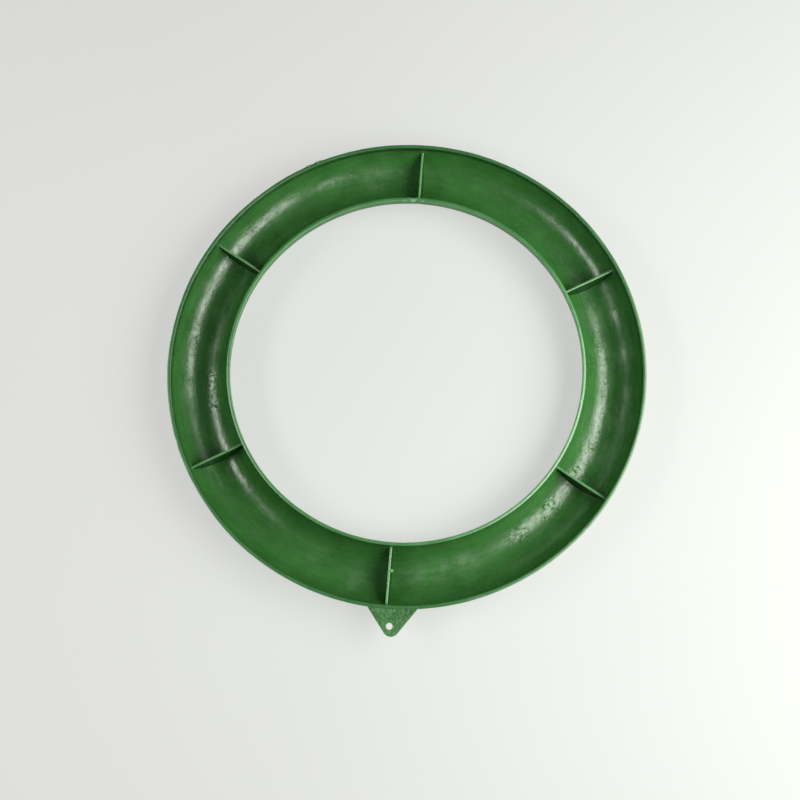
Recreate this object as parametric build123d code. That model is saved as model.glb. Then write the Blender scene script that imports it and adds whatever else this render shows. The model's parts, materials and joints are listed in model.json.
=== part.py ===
"""Wreath frame: a half-round ring trough, open at the back, with rims, cross ribs and a hanging tab.

Millimetres. The Z axis is the ring's axis, and the open back faces +Z. The ring lies on the crown of
its half-round channel, which touches z = 0. The hanging tab points towards -Y.
"""
import os

from build123d import *

# Ring: a half-round channel with a rim along both of its edges
outer_diameter = 300.0    # over the outer rim
channel_width = 39.5      # from the outer rim's outer edge to the inner rim's inner edge
wall = 1.8                # thickness of the channel
rim_height = 2.4          # from the channel's edge up to the rim plane
rim_overhang = 0.3        # how far a rim stands out past the channel below it
rim_rounding = 0.5        # radius along a rim's two top edges

# Ribs: thin radial webs that hold the channel's two sides apart
rib_count = 6
rib_recess = 6.5          # from the rim plane down to a rib's edge
rib_edge_thickness = 1.5
rib_root_thickness = 2.2  # at the channel's floor, so a rib has draft
rib_rounding = 0.4        # radius along a rib's two top edges

# Gate nub: what is left of the moulding gate, on the side of the first rib's edge
gate_diameter = 2.0
gate_stand = 0.3          # how far the nub stands above the rib's edge
gate_length = 3.0         # from the nub's top down to where it ends on the rib's side
gate_inset = 3.0          # from the middle of the channel towards the ring's axis
gate_side = 1.5           # from the middle of the rib's thickness to the nub's axis

# Hanging tab: a flat triangular ear with a round tip, beside the first rib
tab_root_width = 30.0
tab_reach = 16.0          # from the outer rim to the tab's tip
tab_thickness = 1.8
tab_tip_radius = 5.0
tab_offset = 4.0          # from the first rib's middle to the tab's middle
hole_diameter = 4.0
hole_reach = 10.0         # from the outer rim to the hole's centre
hole_offset = 1.0         # from the tab's middle back towards the first rib

# Sizes that follow from the ones above
outer_radius = outer_diameter / 2
inner_radius = outer_radius - channel_width
middle_radius = (outer_radius + inner_radius) / 2
rim_width = wall + rim_overhang
section_outer_radius = channel_width / 2 - rim_overhang
section_inner_radius = section_outer_radius - wall
channel_edge_z = section_outer_radius
rim_plane_z = channel_edge_z + rim_height
rib_edge_z = rim_plane_z - rib_recess


def round_about_axis(profile):
    """A full ring from a profile drawn with x as the radius and y as the height."""
    return revolve(Plane.XZ * profile, Axis.Z, 360)


def half_round(radius):
    """The lower half of a disc in the middle of the channel, closed at the channel's edge."""
    disc = Circle(radius)
    lower_half = Rectangle(2 * radius, radius, align=(Align.CENTER, Align.MAX))
    return Pos(middle_radius, channel_edge_z) * (disc & lower_half)


def make_channel():
    """The half-round shell, one piece all the way round."""
    return round_about_axis(half_round(section_outer_radius) - half_round(section_inner_radius))


def make_rim(low_radius):
    """A flat-topped bead that stands on one edge of the channel."""
    band = Rectangle(rim_width, rim_height, align=(Align.MIN, Align.MIN))
    top_corners = band.vertices().sort_by(Axis.Y)[-2:]
    return round_about_axis(Pos(low_radius, channel_edge_z) * fillet(top_corners, rim_rounding))


def make_trough_space():
    """The hollow inside the channel and between the rims, which a rib fills across."""
    neck = Rectangle(2 * section_inner_radius, rim_height, align=(Align.CENTER, Align.MIN))
    return round_about_axis(half_round(section_inner_radius) + Pos(middle_radius, channel_edge_z) * neck)


def make_rib(trough_space):
    """A web across the trough along +X, thicker at its root than at its edge."""
    root_half = rib_root_thickness / 2
    edge_half = rib_edge_thickness / 2
    outline = Polyline(
        (-root_half, 0),
        (root_half, 0),
        (edge_half, rib_edge_z),
        (-edge_half, rib_edge_z),
        close=True,
    )
    section = fillet(make_face(outline).vertices().sort_by(Axis.Y)[-2:], rib_rounding)
    web = extrude(Plane.YZ.offset(inner_radius) * section, channel_width)
    return web & trough_space


def make_gate_nub():
    """A short round boss with a pointed foot, on the +Y side of a rib that runs along +X."""
    radius = gate_diameter / 2
    straight = gate_length - gate_diameter
    boss = Cylinder(radius, straight, align=(Align.CENTER, Align.CENTER, Align.MAX))
    foot = Pos(0, 0, -straight) * Cone(
        0, radius, gate_diameter, align=(Align.CENTER, Align.CENTER, Align.MAX)
    )
    place = Pos(middle_radius - gate_inset, gate_side, rib_edge_z + gate_stand)
    return place * (boss + foot)


def make_hanging_tab():
    """The ear for a nail or a hook, which grows out of the outer rim's side."""
    root = Line(
        (tab_offset - tab_root_width / 2, -outer_radius + rim_width),
        (tab_offset + tab_root_width / 2, -outer_radius + rim_width),
    )
    shoulder = Line(
        (tab_offset - tab_root_width / 2, -outer_radius),
        (tab_offset + tab_root_width / 2, -outer_radius),
    )
    tip = Pos(tab_offset, tab_tip_radius - tab_reach - outer_radius) * Circle(tab_tip_radius)
    outline = make_hull(root.edges() + shoulder.edges() + tip.edges())
    plate = extrude(Plane.XY.offset(channel_edge_z) * outline, tab_thickness)
    hole = Pos(tab_offset - hole_offset, -outer_radius - hole_reach, channel_edge_z) * Cylinder(
        hole_diameter / 2, 3 * tab_thickness
    )
    inside_the_rim = Pos(0, 0, channel_edge_z) * Cylinder(outer_radius, 3 * tab_thickness)
    return plate - hole - inside_the_rim


def build_nodes():
    """Every sub-part by its name, in place."""
    nodes = {
        "channel": make_channel(),
        "outer_rim": make_rim(outer_radius - rim_width),
        "inner_rim": make_rim(inner_radius),
        "hanging_tab": make_hanging_tab(),
    }
    rib = make_rib(make_trough_space())
    for number in range(rib_count):
        turn = Rot(0, 0, number * 360 / rib_count - 90)
        shape = rib + make_gate_nub() if number == 0 else rib
        nodes[f"rib_{number + 1}"] = turn * shape
    return nodes


os.makedirs("parts", exist_ok=True)
for node_name, node_shape in build_nodes().items():
    export_step(node_shape, f"parts/{node_name}.step")
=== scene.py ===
"""Wreath frame: a half-round ring trough of green moulded plastic, lying on its crown, open side up.

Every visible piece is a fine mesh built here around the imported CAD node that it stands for. The ring's
axis is Z. Lengths are in metres, and angles in the lists below are in degrees, from +X towards +Y.
"""
import json
import math

import bpy
import numpy as np
from mathutils import Matrix, Vector


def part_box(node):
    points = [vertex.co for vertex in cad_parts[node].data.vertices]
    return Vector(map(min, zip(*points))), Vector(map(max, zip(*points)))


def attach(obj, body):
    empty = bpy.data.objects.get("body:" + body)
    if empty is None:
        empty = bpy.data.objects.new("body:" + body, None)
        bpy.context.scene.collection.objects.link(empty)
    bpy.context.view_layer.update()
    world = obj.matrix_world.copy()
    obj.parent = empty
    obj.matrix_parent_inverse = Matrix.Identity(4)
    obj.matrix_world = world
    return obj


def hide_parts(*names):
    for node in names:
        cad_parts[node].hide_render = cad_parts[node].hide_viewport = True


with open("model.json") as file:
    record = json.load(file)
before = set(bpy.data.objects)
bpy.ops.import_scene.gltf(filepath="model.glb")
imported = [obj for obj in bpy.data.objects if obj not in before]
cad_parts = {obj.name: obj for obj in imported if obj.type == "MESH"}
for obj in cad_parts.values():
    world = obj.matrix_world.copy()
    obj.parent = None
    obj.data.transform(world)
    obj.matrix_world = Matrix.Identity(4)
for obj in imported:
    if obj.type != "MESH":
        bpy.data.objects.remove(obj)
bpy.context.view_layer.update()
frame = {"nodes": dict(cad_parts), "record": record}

MM = 0.001
BODY = "root"


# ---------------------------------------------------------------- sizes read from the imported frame

def radii(node):
    """Smallest and largest distance of a node's vertices from the ring's axis."""
    co = np.array([v.co[:2] for v in frame["nodes"][node].data.vertices])
    distance = np.hypot(co[:, 0], co[:, 1])
    return float(distance.min()), float(distance.max())


OUTER_RIM_IN, OUTER_RADIUS = radii("outer_rim")
INNER_RADIUS = radii("inner_rim")[0]
CHANNEL_IN, CHANNEL_OUT = radii("channel")
EDGE_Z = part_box("outer_rim")[0].z               # the channel ends and the rims begin here
RIM_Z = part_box("outer_rim")[1].z
MIDDLE = (OUTER_RADIUS + INNER_RADIUS) / 2      # from the axis to the middle of the channel
SECTION_OUT = (CHANNEL_OUT - CHANNEL_IN) / 2    # radius of the channel's half-round front
SECTION_IN = OUTER_RIM_IN - MIDDLE              # radius of its trough
RIB_EDGE_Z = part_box("rib_4")[1].z
RIB_COUNT = 6
FIRST_RIB = -90                                 # the rib beside the tab, in degrees
HOLE = next(mount for mount in frame["record"]["mounts"] if mount["name"] == "hanging_hole")

# ---------------------------------------------------------------- details finer than the CAD solids

TURNS = 720                     # facets round the ring
RIM_ROUNDING = 0.3 * MM
RIM_DOME = 3.4 * MM             # radius of a rim's domed top
OUTER_RIM_LEAN = 0.05 * MM      # how far a rim's top drops from its side nearer the axis to the other
INNER_RIM_LEAN = 0.38 * MM
RIM_WANDER = 0.35 * MM          # how far the inner rim wanders beside the fourth rib
RIB_EDGE_HALF = 0.75 * MM       # half a rib's thickness at its edge
RIB_ROOT_HALF = 1.1 * MM
RIB_ROUNDING = 0.55 * MM
ROOT_FILLET = 0.4 * MM          # where a rib's side runs into the trough
RIB_SUNK = 0.3 * MM             # how far a rib's foot goes into the channel's wall
TAB_TIP = 5 * MM                # radius of the tab's round tip
TAB_UNDER_RIM = 0.4 * MM        # how far the tab's root goes in from the rim's side
TAB_LIFT = 0.02 * MM            # keeps the tab's underside inside the CAD solid
HOLE_ROUNDING = 0.3 * MM
TAB_ROUNDING = 0.45 * MM
NUB_RADIUS = 1.0 * MM
NUB_FROM_MIDDLE = 3.0 * MM      # how far the gate nub stands inward of the channel's middle
# The gate nub's side, as (share of its radius, height from its top in mm)
NUB_PROFILE = [(0.0, -0.12), (0.35, -0.10), (0.6, 0.0), (0.8, -0.03), (0.93, -0.12), (1.0, -0.3),
               (1.02, -0.8), (0.85, -1.6), (0.5, -2.4), (0.05, -2.9)]

# Flash (+) and nicks (-) on each rim's free side: angle, width in degrees and push
OUTER_MARKS = [(117.0, 0.8, 0.9 * MM), (119.6, 0.6, 0.7 * MM), (203.0, 0.6, -0.35 * MM),
               (310.0, 0.5, 0.3 * MM), (66.0, 0.5, 0.3 * MM)]
INNER_MARKS = [(91.9, 0.45, 1.3 * MM), (88.7, 0.45, 1.1 * MM), (94.6, 0.5, 0.9 * MM),
               (90.3, 0.4, -0.8 * MM), (86.4, 0.4, 0.45 * MM), (97.5, 0.6, -0.35 * MM),
               (352.0, 0.7, 0.35 * MM), (216.0, 0.5, 0.3 * MM)]

# ---------------------------------------------------------------- colours and places on the skin

# Painted shade, for the trough just under its rims and for the ribs' sides
SHADE_GREEN = (0.008, 0.036, 0.008)
DEEP_GREEN = (0.031, 0.135, 0.026)
MID_GREEN = (0.050, 0.190, 0.042)
# Painted light: the ribs' edges and the torn places on the rims are lightened towards this green
PAINTED_LIGHT_GREEN = (0.190, 0.470, 0.195)
DUST = (0.150, 0.270, 0.145)
# Darker and lighter green of each edge plastic
OUTER_RIM_GREENS = (0.034, 0.150, 0.040), (0.058, 0.215, 0.064)
# Painted light: the inner rim's greens are lighter than the outer rim's and the trough's
INNER_RIM_LIT_GREENS = (0.058, 0.215, 0.066), (0.092, 0.310, 0.100)
# Painted highlight: the gate's greens are paler still, for the light on the nub's end
GATE_LIT_GREENS = (0.16, 0.44, 0.16), (0.26, 0.56, 0.26)
TAB_GREENS = (0.018, 0.095, 0.018), (0.074, 0.262, 0.070)
TABLE_GREYS = (0.27, 0.27, 0.267), (0.29, 0.29, 0.287)

# Round patches of the surface: angle, distance from the axis and size
PITTED = [(186, 0.124, 0.012), (193, 0.124, 0.010), (-29, 0.123, 0.013), (-40, 0.125, 0.015),
          (-18, 0.124, 0.010), (-52, 0.127, 0.012), (12, 0.124, 0.007), (150, 0.138, 0.007)]
DUSTY = [(-83, 0.128, 0.011), (-76, 0.128, 0.012), (-69, 0.128, 0.012), (-19, 0.130, 0.014),
         (-9, 0.130, 0.015), (8, 0.130, 0.016), (20, 0.130, 0.016), (-100, 0.136, 0.012),
         (104, 0.136, 0.013)]
SCUFFED = [(4, 0.141, 0.016), (14, 0.141, 0.018), (24, 0.141, 0.012), (-120, 0.126, 0.020),
           (-134, 0.126, 0.018), (-62, 0.126, 0.020), (122, 0.140, 0.012), (-179, 0.126, 0.009)]
# Torn places on the rims, painted paler as a highlight
TORN_GLINTS = [(91.9, INNER_RADIUS, 2.3 * MM), (88.7, INNER_RADIUS, 0.9 * MM), (94.8, INNER_RADIUS, 1.0 * MM),
          (117.0, OUTER_RADIUS, 1.5 * MM), (119.6, OUTER_RADIUS, 1.3 * MM), (-8.0, INNER_RADIUS, 1.5 * MM)]
FLOOR_PATCH_Z = 3 * MM          # the height of the pitted and dusty patches' middles
SCUFF_PATCH_Z = 6 * MM          # and of the scuffed ones'

# Noise scales, in cells per metre
PITTED_SCALE = 45.0             # the uneven spread of pits away from the pitted patches
PATCH_SCALE = 60.0
CLOUD_SCALE = 70.0
DUST_SCALE = 160.0
SMEAR_SCALE = 300.0
STREAK_SCALE = 420.0
SPECKLE_SCALE = 620.0
PIT_SCALE = 400.0
GRAIN_SCALE = 380.0
EDGE_GRAIN_SCALE = 900.0
TAB_GRAIN_SCALE = 480.0
STREAK_STRETCH = (0.16, 1.0, 1.0)
SMEAR_STRETCH = (1.0, 0.35, 1.0)
PIT_BAND = (0.55, 0.63)         # the pit noise's values between the skin and a pit's floor

# specular level that stands where an export drops a varying one
GLOSS = 0.75                    # specular level on the shader's own socket, under any varying one linked to it
RIB_SHADE = 0.75                # how far the ribs' sides go towards SHADE_GREEN, as painted shade
EDGE_GRAIN_DEPTH = 0.03 * MM
TAB_GRAIN_DEPTH = 0.7 * MM
STREAK_DEPTH = 0.05 * MM
GRAIN_DEPTH = 0.30 * MM


# ---------------------------------------------------------------- camera and light

CAMERA_AIM = (-1.44 * MM, -22.93 * MM, RIM_Z)
CAMERA_AZIMUTH, CAMERA_ELEVATION, CAMERA_ROLL = 12.30, 76.98, -7.97     # azimuth from -Y towards +X
CAMERA_DISTANCE = 623.6 * MM
CAMERA_LENS = 45.22             # mm, on a sensor 36 mm wide
TABLE_HALF = 3.0
TABLE_GLOW = 0.52               # keeps the table pale under the two small lights
LIGHT_COLOUR = (0.95, 1.0, 0.90)
ROOM_COLOUR = (0.98, 1.0, 0.97)
HORIZON, DIM_ROOM = 0.52, 0.035     # the world's strength round the horizon and above it


# ---------------------------------------------------------------- mesh helpers

def waves(points, length, seed, count=20):
    """A smooth uneven field between about -1 and 1, whose bumps are about length across."""
    rng = np.random.default_rng(seed)
    direction = rng.normal(size=(count, 3))
    direction /= np.linalg.norm(direction, axis=1)[:, None]
    pace = rng.uniform(0.6, 1.5, count) * math.pi / length
    phase = rng.uniform(0, 2 * math.pi, count)
    total = np.zeros(len(points))
    for k in range(count):
        total += np.sin(points @ direction[k] * pace[k] + phase[k])
    return total / math.sqrt(count)


def grid_faces(rows, columns, rows_close=False, columns_close=False):
    """Quads over a grid of points that is stored row by row."""
    i = np.arange(rows if rows_close else rows - 1)
    j = np.arange(columns if columns_close else columns - 1)
    i, j = np.meshgrid(i, j, indexing="ij")
    i_next, j_next = (i + 1) % rows, (j + 1) % columns
    corners = (i * columns + j, i * columns + j_next, i_next * columns + j_next, i_next * columns + j)
    return np.stack([c.ravel() for c in corners], axis=1)


def add_piece(name, points, faces, material, stands_for=None):
    """A smooth mesh piece on the ring's body, in place of a CAD node if one is named."""
    mesh = bpy.data.meshes.new(name)
    mesh.from_pydata([tuple(p) for p in points], [], [tuple(map(int, f)) for f in faces])
    mesh.polygons.foreach_set("use_smooth", [True] * len(mesh.polygons))
    mesh.materials.append(material)
    mesh.update()
    piece = bpy.data.objects.new(name, mesh)
    bpy.context.scene.collection.objects.link(piece)
    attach(piece, BODY)
    if stands_for:
        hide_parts(stands_for)
    return piece


def carry_round(loop, turns=TURNS):
    """Carries a closed loop of (radius, height) round the axis: points, outward normals and angles."""
    loop = np.asarray(loop)
    along = np.roll(loop, -1, axis=0) - np.roll(loop, 1, axis=0)
    normal = np.stack([-along[:, 1], along[:, 0]], axis=1)
    normal /= np.maximum(np.linalg.norm(normal, axis=1), 1e-12)[:, None]
    angle = np.linspace(0, 2 * math.pi, turns, endpoint=False)
    cos, sin = np.cos(angle)[:, None], np.sin(angle)[:, None]

    def spin(flat):
        radius, height = flat[None, :, 0], np.broadcast_to(flat[None, :, 1], (turns, len(flat)))
        return np.stack([radius * cos, radius * sin, height], axis=2).reshape(-1, 3)

    return spin(loop), spin(normal), np.repeat(angle, len(loop))


def arc(centre, radius, start, end, steps):
    """Points on an arc in the (radius, height) plane, angles in degrees."""
    t = np.radians(np.linspace(start, end, steps + 1))
    return [(centre[0] + radius * math.cos(a), centre[1] + radius * math.sin(a)) for a in t]


def bump_at(angle, centre, width):
    """A smooth hump of height 1 round the ring, with everything in radians."""
    away = (angle - centre + math.pi) % (2 * math.pi) - math.pi
    return np.exp(-((away / width) ** 2))


def rib_angle(number):
    """Where a rib stands, in radians. Ribs are counted from 1."""
    return math.radians(360 / RIB_COUNT * (number - 1) + FIRST_RIB)


# ---------------------------------------------------------------- material helpers

class Tree:
    """A node tree, with a call for each kind of node it needs. A call gives the new node's output."""

    def __init__(self, owner):
        owner.use_nodes = True
        self.nodes = owner.node_tree.nodes
        self.links = owner.node_tree.links

    def feed(self, socket, value):
        """Links an input to an output, or sets it to a number, a vector or a colour."""
        if isinstance(value, bpy.types.NodeSocket):
            self.links.new(value, socket)
        elif socket.type == "RGBA":
            socket.default_value = (*value, 1.0)
        else:
            socket.default_value = value

    def coords(self, kind="Object"):
        return self.nodes.new("ShaderNodeTexCoord").outputs[kind]

    def split(self, vector):
        """A vector's three parts."""
        node = self.nodes.new("ShaderNodeSeparateXYZ")
        self.feed(node.inputs["Vector"], vector)
        return tuple(node.outputs)

    def join(self, x, y, z):
        node = self.nodes.new("ShaderNodeCombineXYZ")
        for name, part in zip("XYZ", (x, y, z)):
            self.feed(node.inputs[name], part)
        return node.outputs["Vector"]

    def noise(self, coords, scale, detail=2.0, rough=0.5, stretch=None):
        """A noise around 0.5. stretch is a factor on each coordinate first, if it is given."""
        texture = self.nodes.new("ShaderNodeTexNoise")
        self.feed(texture.inputs["Scale"], scale)
        self.feed(texture.inputs["Detail"], detail)
        self.feed(texture.inputs["Roughness"], rough)
        if stretch:
            mapping = self.nodes.new("ShaderNodeMapping")
            self.feed(mapping.inputs["Scale"], stretch)
            self.feed(mapping.inputs["Vector"], coords)
            coords = mapping.outputs["Vector"]
        self.feed(texture.inputs["Vector"], coords)
        return texture.outputs["Fac"]

    def remap(self, value, low, high, to_low, to_high):
        """Carries low...high to to_low...to_high, and holds the ends beyond them."""
        node = self.nodes.new("ShaderNodeMapRange")
        for name, given in (("Value", value), ("From Min", low), ("From Max", high),
                            ("To Min", to_low), ("To Max", to_high)):
            self.feed(node.inputs[name], given)
        return node.outputs["Result"]

    def blend(self, share, first, second):
        """Mixes two colours, from the first at share 0 to the second at share 1."""
        mix = self.nodes.new("ShaderNodeMix")
        mix.data_type = "RGBA"
        self.feed(mix.inputs["Factor"], share)
        self.feed(mix.inputs["A"], first)
        self.feed(mix.inputs["B"], second)
        return mix.outputs["Result"]

    def maths(self, kind, first, second=0.0):
        node = self.nodes.new("ShaderNodeMath")
        node.operation = kind
        self.feed(node.inputs[0], first)
        self.feed(node.inputs[1], second)
        return node.outputs["Value"]

    def add(self, first, second):
        return self.maths("ADD", first, second)

    def multiply(self, first, second):
        return self.maths("MULTIPLY", first, second)

    def hypotenuse(self, first, second):
        """The distance that two parts at right angles make."""
        squares = self.add(self.multiply(first, first), self.multiply(second, second))
        return self.maths("SQRT", squares)

    def spots(self, coords, places, height):
        """1 inside round patches at one height and 0 away from them. places are (angle, radius, size)."""
        total = None
        for angle, radius, size in places:
            a = math.radians(angle)
            away = self.nodes.new("ShaderNodeVectorMath")
            away.operation = "DISTANCE"
            self.feed(away.inputs[0], coords)
            self.feed(away.inputs[1], (radius * math.cos(a), radius * math.sin(a), height))
            inside = self.remap(away.outputs["Value"], 0.4 * size, size, 1.0, 0.0)
            total = inside if total is None else self.maths("MAXIMUM", total, inside)
        return total

    def bump(self, height, distance, below=None, strength=1.0):
        """Relief of one depth, laid over the relief below it, if there is one."""
        node = self.nodes.new("ShaderNodeBump")
        self.feed(node.inputs["Distance"], distance)
        self.feed(node.inputs["Strength"], strength)
        self.feed(node.inputs["Height"], height)
        if below is not None:
            self.feed(node.inputs["Normal"], below)
        return node.outputs["Normal"]


def new_material(name):
    """A material, its node tree and its shader."""
    material = bpy.data.materials.new(name)
    tree = Tree(material)
    return material, tree, tree.nodes["Principled BSDF"]


def new_plastic(name):
    """A material with the moulded plastic's fixed values: a faint glow under the skin and a plain gloss."""
    material, tree, shader = new_material(name)
    for socket, value in (("IOR", 1.6), ("Specular IOR Level", GLOSS), ("Subsurface Weight", 0.05),
                          ("Subsurface Radius", (0.3, 1.0, 0.25)), ("Subsurface Scale", 0.6 * MM)):
        tree.feed(shader.inputs[socket], value)
    return material, tree, shader


def ring_coords(tree, coords):
    """Coordinates that run with the ring, then the distance from the axis and the height by themselves."""
    x, y, height = tree.split(coords)
    angle = tree.maths("ARCTAN2", x, y)     # this jumps only under the first rib
    distance = tree.hypotenuse(x, y)
    return tree.join(tree.multiply(angle, MIDDLE), distance, height), distance, height


# ---------------------------------------------------------------- materials

def streaky_green(tree, coords, streaks):
    """The moulded plastic's own colour: soft clouds, and streaks that run round the ring."""
    clouds = tree.noise(coords, CLOUD_SCALE, 5.0, 0.6)
    share = tree.add(tree.remap(clouds, 0.32, 0.68, 0.0, 0.8), tree.remap(streaks, 0.35, 0.65, 0.0, 0.2))
    return tree.blend(share, DEEP_GREEN, MID_GREEN)


def finish_skin(tree, shader, coords, streaks, zone, zone_gloss, zone_rough, inside=None):
    """Gloss, roughness and grain, with pitted and scuffed patches.

    zone is a mask. zone_gloss scales the gloss and zone_rough adds to the roughness, each as (where the
    mask is 0, where it is 1). The patches are kept to the mask inside, if it is given.
    """
    patches = tree.noise(coords, PATCH_SCALE, 4.0, 0.6)
    speckle = tree.noise(coords, SPECKLE_SCALE, 2.0, 0.6)
    pits = tree.noise(coords, PIT_SCALE, 3.0, 0.62)
    smears = tree.noise(coords, SMEAR_SCALE, 3.0, 0.6, SMEAR_STRETCH)
    places = tree.spots(coords, PITTED, FLOOR_PATCH_Z)
    scuffed = tree.spots(coords, SCUFFED, SCUFF_PATCH_Z)
    if inside is not None:
        places = tree.multiply(places, inside)
        scuffed = tree.multiply(scuffed, inside)
    spread = tree.remap(tree.noise(coords, PITTED_SCALE), 0.45, 0.75, 0.25, 0.7)
    pitted = tree.maths("MAXIMUM", places, spread)

    # marks is below 0 where a fine mark takes gloss away, and above 0 where the skin is shinier
    marks = tree.add(tree.remap(speckle, 0.38, 0.62, -0.25, 0.25), tree.remap(pits, *PIT_BAND, 0.0, -0.60))
    marks = tree.multiply(marks, pitted)
    marks = tree.add(marks, tree.remap(smears, 0.38, 0.62, -0.20, 0.20))
    gloss = tree.add(marks, tree.remap(streaks, 0.35, 0.65, 0.60, 0.95))
    gloss = tree.multiply(gloss, tree.remap(scuffed, 0.0, 1.0, 1.0, 0.45))
    gloss = tree.multiply(gloss, tree.remap(zone, 0.0, 1.0, *zone_gloss))
    tree.feed(shader.inputs["Specular IOR Level"], gloss)

    pit_floor = tree.multiply(pitted, tree.remap(pits, *PIT_BAND, 0.0, 1.0))
    rough = tree.add(tree.remap(patches, 0.3, 0.7, 0.24, 0.34), tree.remap(streaks, 0.3, 0.7, -0.04, 0.04))
    rough = tree.add(rough, tree.remap(scuffed, 0.0, 1.0, 0.0, 0.08))
    rough = tree.add(rough, tree.remap(pit_floor, 0.0, 1.0, 0.0, 0.25))
    rough = tree.add(rough, tree.remap(zone, 0.0, 1.0, *zone_rough))
    tree.feed(shader.inputs["Roughness"], rough)

    normal = tree.bump(streaks, STREAK_DEPTH)
    normal = tree.bump(tree.noise(coords, GRAIN_SCALE, 3.0, 0.6), GRAIN_DEPTH, normal, pitted)
    tree.feed(shader.inputs["Normal"], normal)


def trough_plastic():
    """The channel's plastic: a glossy, dusty, pitted trough with painted shade under its rims, and a duller
    round front.
    """
    material, tree, shader = new_plastic("trough_plastic")
    coords = tree.coords()
    along, distance, height = ring_coords(tree, coords)
    streaks = tree.noise(along, STREAK_SCALE, 3.0, 0.55, STREAK_STRETCH)
    across = tree.maths("SUBTRACT", distance, MIDDLE)
    down = tree.maths("SUBTRACT", height, EDGE_Z)
    wall = SECTION_OUT - SECTION_IN
    front = tree.remap(tree.hypotenuse(across, down), SECTION_IN + 0.4 * wall, SECTION_IN + 0.6 * wall,
                       0.0, 1.0)
    inside = tree.maths("SUBTRACT", 1.0, front)

    dust = tree.remap(tree.noise(coords, DUST_SCALE, 4.0, 0.65), 0.38, 0.66, 0.0, 0.42)
    dust = tree.multiply(tree.spots(coords, DUSTY, FLOOR_PATCH_Z), dust)
    # Painted shade: inside the trough, the colour goes to SHADE_GREEN in a band just under each rim
    painted_lip_shade = tree.remap(height, EDGE_Z - 2.6 * MM, EDGE_Z - 0.8 * MM, 0.0, 1.0)
    colour = streaky_green(tree, coords, streaks)
    colour = tree.blend(tree.multiply(dust, inside), colour, DUST)
    colour = tree.blend(tree.multiply(painted_lip_shade, inside), colour, SHADE_GREEN)
    tree.feed(shader.inputs["Base Color"], colour)
    finish_skin(tree, shader, coords, streaks, front, (1.0, 0.45), (0.0, 0.16), inside)
    return material


def rib_plastic():
    """The ribs' plastic: dull sides darkened with painted shade, under a glossy edge lightened with painted
    light.
    """
    material, tree, shader = new_plastic("rib_plastic")
    coords = tree.coords()
    along, _, height = ring_coords(tree, coords)
    streaks = tree.noise(along, STREAK_SCALE, 3.0, 0.55, STREAK_STRETCH)
    edge = tree.remap(height, RIB_EDGE_Z - 0.40 * MM, RIB_EDGE_Z - 0.15 * MM, 0.0, 1.0)
    # Painted shade: the ribs' sides go most of the way to SHADE_GREEN
    colour = tree.blend(RIB_SHADE, streaky_green(tree, coords, streaks), SHADE_GREEN)
    # Painted light: the top of the rib's edge goes to a pale green
    tree.feed(shader.inputs["Base Color"], tree.blend(edge, colour, PAINTED_LIGHT_GREEN))
    finish_skin(tree, shader, coords, streaks, edge, (0.12, 1.0), (0.30, 0.05))
    return material


def edge_plastic(name, greens, rough, gloss, grain_scale=EDGE_GRAIN_SCALE, grain_depth=EDGE_GRAIN_DEPTH,
                 torn_glints=(), top=None):
    """Speckled plastic with an even grain, between two greens, for the rims, the gate and the tab.

    Places, as in Tree.spots, where the edge is torn get a painted highlight: a paler green. Below top, if
    it is given, the skin is duller.
    """
    material, tree, shader = new_plastic(name)
    coords = tree.coords()
    tree.feed(shader.inputs["Specular IOR Level"], gloss)
    if top is not None:
        height = tree.split(coords)[2]
        tree.feed(shader.inputs["Specular IOR Level"],
                  tree.remap(height, top - 1.0 * MM, top - 0.5 * MM, 0.2 * gloss, gloss))
    speckle = tree.noise(coords, grain_scale, 3.0, 0.6)
    clouds = tree.noise(coords, CLOUD_SCALE, 3.0)
    share = tree.add(tree.remap(clouds, 0.35, 0.65, 0.0, 0.5), tree.remap(speckle, 0.35, 0.65, 0.0, 0.5))
    colour = tree.blend(share, *greens)
    if torn_glints:
        # Painted highlight: the torn places go to a pale green
        colour = tree.blend(tree.spots(coords, torn_glints, RIM_Z), colour, PAINTED_LIGHT_GREEN)
    tree.feed(shader.inputs["Base Color"], colour)
    tree.feed(shader.inputs["Roughness"], tree.remap(clouds, 0.3, 0.7, rough - 0.06, rough + 0.06))
    tree.feed(shader.inputs["Normal"], tree.bump(speckle, grain_depth))
    return material


# ---------------------------------------------------------------- the ring

def build_channel(material):
    """The half-round shell, with the slight waviness of a moulded wall."""
    centre = (MIDDLE, EDGE_Z)
    loop = arc(centre, SECTION_OUT, 0, -180, 64) + arc(centre, SECTION_IN, -180, 0, 60)
    points, normals, angle = carry_round(loop)
    from_middle = np.hypot(points[:, 0], points[:, 1]) - MIDDLE
    front = np.hypot(from_middle, points[:, 2] - EDGE_Z) > SECTION_OUT - 0.1 * MM
    relief = 0.8 * (0.10 * MM * waves(points, 55 * MM, 11) + 0.022 * MM * waves(points, 9 * MM, 12))
    # The wall sinks a little behind each rib, on the round front
    behind = sum(bump_at(angle, rib_angle(number), 0.02) for number in range(1, RIB_COUNT + 1))
    relief = relief - 0.12 * MM * behind * front
    relief = np.where(front, np.minimum(relief, 0), relief)
    # The relief fades out towards the two edges, which the rims sit on
    fade = np.clip((EDGE_Z - points[:, 2]) / (4 * MM), 0, 1)
    points = points + normals * (relief * fade)[:, None]
    return add_piece("channel_shell", points, grid_faces(TURNS, len(loop), True, True), material, "channel")


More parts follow.
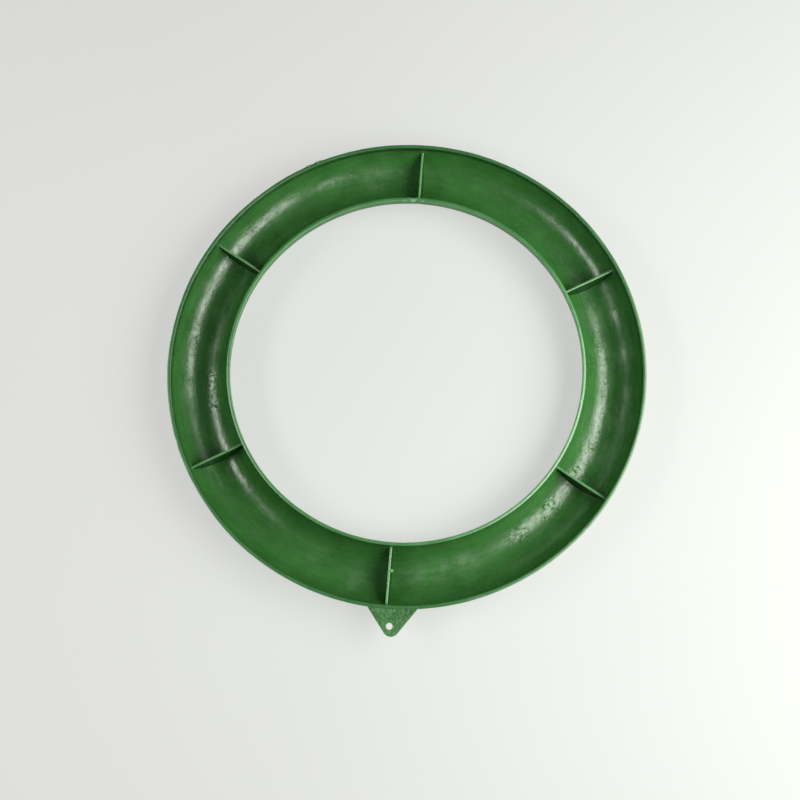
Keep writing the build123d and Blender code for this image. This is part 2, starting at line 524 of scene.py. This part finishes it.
def rim_loop(low_radius, high_radius, lean_out):
    """A rim's section: shallow domed top, two small rounded corners, square foot.

    lean_out is how far the top drops from the low radius to the high one.
    """
    middle = (low_radius + high_radius) / 2
    half = (high_radius - low_radius) / 2
    flat = half - RIM_ROUNDING
    lean = math.asin(flat / RIM_DOME)
    shoulder = RIM_Z - RIM_DOME * (1 - math.cos(lean))
    dome = arc((middle, RIM_Z - RIM_DOME), RIM_DOME, 90 + math.degrees(lean), 90 - math.degrees(lean), 8)
    corner = [(RIM_ROUNDING * math.sin(t), shoulder - RIM_ROUNDING * (1 - math.cos(t)))
              for t in np.radians([45, 65, 90])]
    waist = 0.5 * (EDGE_Z + shoulder - RIM_ROUNDING)
    loop = [(low_radius, EDGE_Z), (low_radius, waist)]
    loop += [(middle - flat - push, z) for push, z in corner[::-1]]
    loop += dome
    loop += [(middle + flat + push, z) for push, z in corner]
    loop += [(high_radius, waist), (high_radius, EDGE_Z)]
    leaning = []
    for radius, z in loop[::-1]:
        drop = lean_out * (radius - low_radius) / (2 * half) * (z - EDGE_Z) / (RIM_Z - EDGE_Z)
        leaning.append((radius, z - drop))
    return leaning


def build_rim(node, way, lean_out, wander, marks, material):
    """One rim. way is 1 where its free side faces away from the axis, and -1 where it faces the axis.

    marks are flash and nicks on the free side. wander is how far the whole top sways beside the fourth rib.
    """
    turns = 2 * TURNS
    low_radius, high_radius = radii(node)
    loop = rim_loop(low_radius, high_radius, lean_out)
    points, _, angle = carry_round(loop, turns)
    free = (np.hypot(points[:, 0], points[:, 1]) - low_radius) / (high_radius - low_radius)
    if way < 0:
        free = 1 - free
    raised = np.clip((points[:, 2] - EDGE_Z) / (RIM_Z - EDGE_Z), 0, 1)
    push = 0.10 * MM * (waves(points, 26 * MM, 21) - 1.2) + 0.04 * MM * waves(points, 4 * MM, 22)
    for centre, width, height in marks:
        push = push + height * bump_at(angle, math.radians(centre), math.radians(width))
    sway = wander * np.sin(angle * 130) * bump_at(angle, math.radians(91), math.radians(4.5))
    push = push * np.clip(free, 0, 1) ** 2 * raised + sway * raised
    points[:, 0] += way * push * np.cos(angle)
    points[:, 1] += way * push * np.sin(angle)
    drop = 0.05 * MM * (waves(points, 18 * MM, 23) - 1.4) + 0.02 * MM * waves(points, 3 * MM, 24)
    points[:, 2] += np.minimum(drop, 0) * raised ** 3
    return add_piece(f"{node}_bead", points, grid_faces(turns, len(loop), True, True), material, node)


# ---------------------------------------------------------------- the ribs

def quarter(steps):
    """Angles from 0 to 90 degrees in equal steps, in radians."""
    return [math.radians(90 * k / steps) for k in range(steps + 1)]


def rounded_off(distance, radius):
    """How far a rounding stands off the flat it runs into, at a distance from where the rounding starts."""
    gone = radius - min(max(distance, 0), radius)
    return radius - math.sqrt(max(0.0, radius ** 2 - gone ** 2))


def rib_half(turn_steps=96, wall_steps=9, plain_steps=14, edge_steps=6):
    """Half of a rib's thickness over its face, as (offset from the middle, height, half thickness).

    The face is a grid of columns that run from the trough's wall up to the rib's edge.
    """
    rise = EDGE_Z - RIB_EDGE_Z
    floor_z = EDGE_Z - SECTION_IN
    widest = math.acos(rise / SECTION_IN) - 0.004
    grid = []
    for angle in np.sin(np.linspace(-1, 1, turn_steps + 1) * math.pi / 2) * widest:
        reach = SECTION_IN - rise / math.cos(angle)
        fillet = min(ROOT_FILLET, 0.6 * reach)
        rounding = min(RIB_ROUNDING, 0.3 * reach)
        near = [fillet * (1 - math.cos(t)) for t in quarter(wall_steps)]
        far = [reach - rounding * (1 - math.sin(t)) for t in quarter(edge_steps)]
        middle = list(np.linspace(near[-1], far[0], plain_steps + 2)[1:-1])
        row = []
        for d in [-RIB_SUNK] + near + middle + far:
            rho = SECTION_IN - d
            x, z = rho * math.sin(angle), EDGE_Z - rho * math.cos(angle)
            share = min(1.0, max(0.0, (z - floor_z) / (RIB_EDGE_Z - EDGE_Z + SECTION_IN)))
            half = RIB_ROOT_HALF + (RIB_EDGE_HALF - RIB_ROOT_HALF) * share
            half += rounded_off(d, ROOT_FILLET)
            half -= rounded_off(RIB_EDGE_Z - z, RIB_ROUNDING)
            row.append((x, z, half))
        grid.append(row)
    return np.array(grid)


def build_rib(number, material):
    """One web with rounded edge and filleted root, closed all round."""
    half = rib_half()
    rows, columns = half.shape[:2]
    count = rows * columns
    x = half[:, :, 0].ravel() + MIDDLE
    z = half[:, :, 1].ravel()
    y = half[:, :, 2].ravel()
    shift = 0.10 * MM * waves(np.stack([x, np.zeros_like(x), z], axis=1), 16 * MM, 40 + number)
    left = np.stack([x, y + shift, z], axis=1)
    right = np.stack([x, -y + shift, z], axis=1)
    flat = np.concatenate([left, right])
    cos, sin = math.cos(rib_angle(number)), math.sin(rib_angle(number))
    points = np.stack([flat[:, 0] * cos - flat[:, 1] * sin,
                       flat[:, 0] * sin + flat[:, 1] * cos, flat[:, 2]], axis=1)
    side = grid_faces(rows, columns)
    other = side[:, ::-1] + count
    seams = []
    for k in range(rows - 1):
        for column in (0, columns - 1):
            a, b = k * columns + column, (k + 1) * columns + column
            quad = (a, b, b + count, a + count)
            seams.append(quad if column else quad[::-1])
    for row in (0, rows - 1):
        for k in range(columns - 1):
            a, b = row * columns + k, row * columns + k + 1
            quad = (a, b, b + count, a + count)
            seams.append(quad[::-1] if row else quad)
    faces = np.concatenate([side, other, np.array(seams)])
    return add_piece(f"rib_{number}_web", points, faces, material, f"rib_{number}")


# ---------------------------------------------------------------- the tab

def tab_outline(low, high):
    """The tab's outline seen from above: an arc under the rim, two straight sides and a round tip."""
    middle = (low.x + high.x) / 2
    half_root = (high.x - low.x) / 2
    tip = Vector((middle, low.y + TAB_TIP))
    sides = []
    for side in (1, -1):
        root_x = middle + side * half_root
        corner = Vector((root_x, -math.sqrt(OUTER_RADIUS ** 2 - root_x ** 2)))
        reach = corner - tip
        turn = math.asin(TAB_TIP / reach.length)
        way = math.atan2(reach.y, reach.x) - side * (math.pi / 2 - turn)
        touch = tip + TAB_TIP * Vector((math.cos(way), math.sin(way)))
        sides.append((corner, touch, way))
    (right, right_touch, right_way), (left, left_touch, left_way) = sides
    root_radius = OUTER_RADIUS - TAB_UNDER_RIM
    root = np.linspace(math.atan2(left.y, left.x), math.atan2(right.y, right.x), 70)[:-1]
    outline = [(root_radius * math.cos(t), root_radius * math.sin(t)) for t in root]
    outline.append((right.x, right.y))
    outline += [tuple(right.lerp(right_touch, s)) for s in np.linspace(0, 1, 34)[1:-1]]
    if left_way > right_way:
        left_way -= 2 * math.pi
    for t in np.linspace(right_way, left_way, 40):
        outline.append((tip.x + TAB_TIP * math.cos(t), tip.y + TAB_TIP * math.sin(t)))
    outline += [tuple(left_touch.lerp(left, s)) for s in np.linspace(0, 1, 34)[1:]]
    return np.array(outline)


def tab_section(low_z, high_z):
    """A closed path from the hole's wall over the top, round the edge and back below.

    Each point is (kind, value, height). The value is metres out from the hole's wall for "hole", metres in
    from the outline for "edge", and for "flat" the share of the way between their roundings.
    """
    steep = np.radians([22.5, 45, 67.5, 90])
    bend = np.radians([0, 22.5, 45, 67.5, 90])
    hole, edge = HOLE_ROUNDING, TAB_ROUNDING
    section = [("hole", 0.0, low_z + hole)]
    section += [("hole", 0.0, z) for z in np.linspace(low_z + hole, high_z - hole, 4)[1:]]
    section += [("hole", hole * (1 - math.cos(a)), high_z - hole * (1 - math.sin(a))) for a in steep]
    section += [("flat", s, high_z) for s in np.linspace(0, 1, 34)[1:-1]]
    section += [("edge", edge * (1 - math.sin(a)), high_z - edge * (1 - math.cos(a))) for a in bend]
    section += [("edge", edge * (1 - math.cos(a)), low_z + edge * (1 - math.sin(a))) for a in bend]
    section += [("flat", s, low_z) for s in np.linspace(1, 0, 12)[1:-1]]
    section += [("hole", hole * (1 - math.sin(a)), low_z + hole * (1 - math.cos(a))) for a in bend[:-1]]
    return section


def build_tab(material):
    """The hanging ear, as one closed skin that runs from its hole out to its outline and back."""
    low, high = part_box("hanging_tab")
    centre = np.array(HOLE["pos_m"][:2])
    hole_radius = HOLE["dims"]["r_mm"] * MM
    outline = tab_outline(low, high)
    toward = outline - centre
    reach = np.linalg.norm(toward, axis=1)
    toward /= reach[:, None]
    section = tab_section(low.z + TAB_LIFT, high.z)
    rows = []
    for kind, value, z in section:
        if kind == "hole":
            distance = hole_radius + value
        elif kind == "edge":
            distance = reach - value
        else:
            width = reach - TAB_ROUNDING - hole_radius - HOLE_ROUNDING
            distance = hole_radius + HOLE_ROUNDING + width * value
        flat = centre + toward * np.broadcast_to(distance, reach.shape)[:, None]
        rows.append(np.concatenate([flat, np.full((len(flat), 1), z)], axis=1))
    points = np.array(rows).transpose(1, 0, 2).reshape(-1, 3)
    on_top = points[:, 2] > high.z - 0.02 * MM
    pebbles = np.minimum(0.05 * MM * (waves(points, 1.6 * MM, 31, 60) - 1.0), 0)
    points[:, 2] += np.where(on_top, pebbles, 0)
    faces = grid_faces(len(outline), len(section), True, True)
    return add_piece("hanging_tab_plate", points, faces, material, "hanging_tab")


def build_gate_nub(material):
    """The torn-off gate: a short pin on the first rib's side, with a dished, ragged end."""
    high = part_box("rib_1")[1]
    centre = Vector((high.x - NUB_RADIUS, -(MIDDLE - NUB_FROM_MIDDLE)))
    steps = 28
    ragged = np.random.default_rng(5).normal(0, 0.05, steps) * MM
    points = [(centre.x, centre.y, high.z + NUB_PROFILE[0][1] * MM)]
    for share, height in NUB_PROFILE[1:]:
        torn = 0.5 < share < 0.9 and height > -0.1
        for k in range(steps):
            a = 2 * math.pi * k / steps
            drop = min(ragged[k], 0) if torn else 0
            points.append((centre.x + share * NUB_RADIUS * math.cos(a),
                           centre.y + share * NUB_RADIUS * math.sin(a), high.z + height * MM + drop))
    rings = len(NUB_PROFILE) - 1
    walls = grid_faces(rings, steps, False, True)[:, ::-1] + 1
    fan = [(0, 1 + k, 1 + (k + 1) % steps) for k in range(steps)]
    foot = tuple(1 + (rings - 1) * steps + k for k in range(steps))[::-1]
    return add_piece("gate_nub", points, list(walls) + fan + [foot], material)


# ---------------------------------------------------------------- floor, light and camera

def build_floor():
    """A plain pale table top."""
    material, tree, shader = new_material("pale_table")
    shade = tree.remap(tree.noise(tree.coords(), 3.0), 0.3, 0.7, 0.0, 1.0)
    tree.feed(shader.inputs["Base Color"], tree.blend(shade, *TABLE_GREYS))
    tree.feed(shader.inputs["Roughness"], 0.7)
    tree.feed(shader.inputs["Emission Color"], (1.0, 1.0, 0.99))
    tree.feed(shader.inputs["Emission Strength"], TABLE_GLOW)
    mesh = bpy.data.meshes.new("table_top")
    corners = [(x * TABLE_HALF, y * TABLE_HALF, 0) for x, y in ((-1, -1), (1, -1), (1, 1), (-1, 1))]
    mesh.from_pydata(corners, [], [(0, 1, 2, 3)])
    mesh.materials.append(material)
    floor = bpy.data.objects.new("table_top", mesh)
    bpy.context.scene.collection.objects.link(floor)


def add_softbox(name, azimuth, from_zenith, distance, size, power):
    """A rectangular soft light that faces the ring, placed by its direction in degrees.

    size is (across, along the line from the zenith down).
    """
    light = bpy.data.lights.new(name, "AREA")
    light.shape = "RECTANGLE"
    light.size, light.size_y = size
    light.energy = power
    light.color = LIGHT_COLOUR
    lamp = bpy.data.objects.new(name, light)
    bpy.context.scene.collection.objects.link(lamp)
    a, z = math.radians(azimuth), math.radians(from_zenith)
    way = Vector((math.cos(a) * math.sin(z), math.sin(a) * math.sin(z), math.cos(z)))
    lamp.location = way * distance
    lamp.rotation_euler = (-way).to_track_quat("-Z", "Y").to_euler()


def build_light():
    """A large softbox near the ring on the right, a weak one on the left, and a dim room.

    A pale band stands round the horizon, as a studio's far walls do.
    """
    world = bpy.data.worlds.new("studio")
    tree = Tree(world)
    background = tree.nodes["Background"]
    height = tree.split(tree.coords("Generated"))[2]
    tree.feed(background.inputs["Color"], ROOM_COLOUR)
    tree.feed(background.inputs["Strength"], tree.remap(height, 0.16, 0.30, HORIZON, DIM_ROOM))
    bpy.context.scene.world = world
    add_softbox("right_softbox", -9, 49, 0.66, (0.76, 0.50), 6.5)
    add_softbox("left_softbox", 190, 48, 0.95, (0.66, 0.21), 2.8)


def build_camera():
    """A camera above the ring, tipped towards the tab's side."""
    azimuth, elevation = math.radians(CAMERA_AZIMUTH), math.radians(CAMERA_ELEVATION)
    roll = math.radians(CAMERA_ROLL)
    back = Vector((math.sin(azimuth) * math.cos(elevation), -math.cos(azimuth) * math.cos(elevation),
                   math.sin(elevation)))
    right = back.cross(Vector((0, 0, -1))).normalized()
    up = back.cross(right)
    spun_right = right * math.cos(roll) + up * math.sin(roll)
    spun_up = up * math.cos(roll) - right * math.sin(roll)
    turn = Matrix((spun_right, spun_up, back)).transposed()
    data = bpy.data.cameras.new("camera")
    data.sensor_width = 36.0
    data.lens = CAMERA_LENS
    camera = bpy.data.objects.new("camera", data)
    bpy.context.scene.collection.objects.link(camera)
    camera.matrix_world = Matrix.Translation(Vector(CAMERA_AIM) + back * CAMERA_DISTANCE) @ turn.to_4x4()
    bpy.context.scene.camera = camera


# ---------------------------------------------------------------- putting it together

bpy.context.scene.view_settings.view_transform = "Standard"
build_channel(trough_plastic())
# The inner rim's lighter greens and the rims' pale torn places are painted light
outer_rim_green = edge_plastic("outer_rim_plastic", OUTER_RIM_GREENS, 0.34, 1.0, torn_glints=TORN_GLINTS, top=RIM_Z)
inner_rim_green = edge_plastic("inner_rim_plastic", INNER_RIM_LIT_GREENS, 0.34, 1.0, torn_glints=TORN_GLINTS, top=RIM_Z)
build_rim("outer_rim", 1.0, OUTER_RIM_LEAN, 0.0, OUTER_MARKS, outer_rim_green)
build_rim("inner_rim", -1.0, INNER_RIM_LEAN, RIM_WANDER, INNER_MARKS, inner_rim_green)
rib_green = rib_plastic()
for number in range(1, RIB_COUNT + 1):
    build_rib(number, rib_green)
build_tab(edge_plastic("tab_plastic", TAB_GREENS, 0.42, 0.7, TAB_GRAIN_SCALE, TAB_GRAIN_DEPTH))
# The gate nub's pale plastic is a painted highlight
build_gate_nub(edge_plastic("gate_plastic", GATE_LIT_GREENS, 0.35, 0.8))
build_floor()
build_light()
build_camera()
bpy.context.view_layer.update()
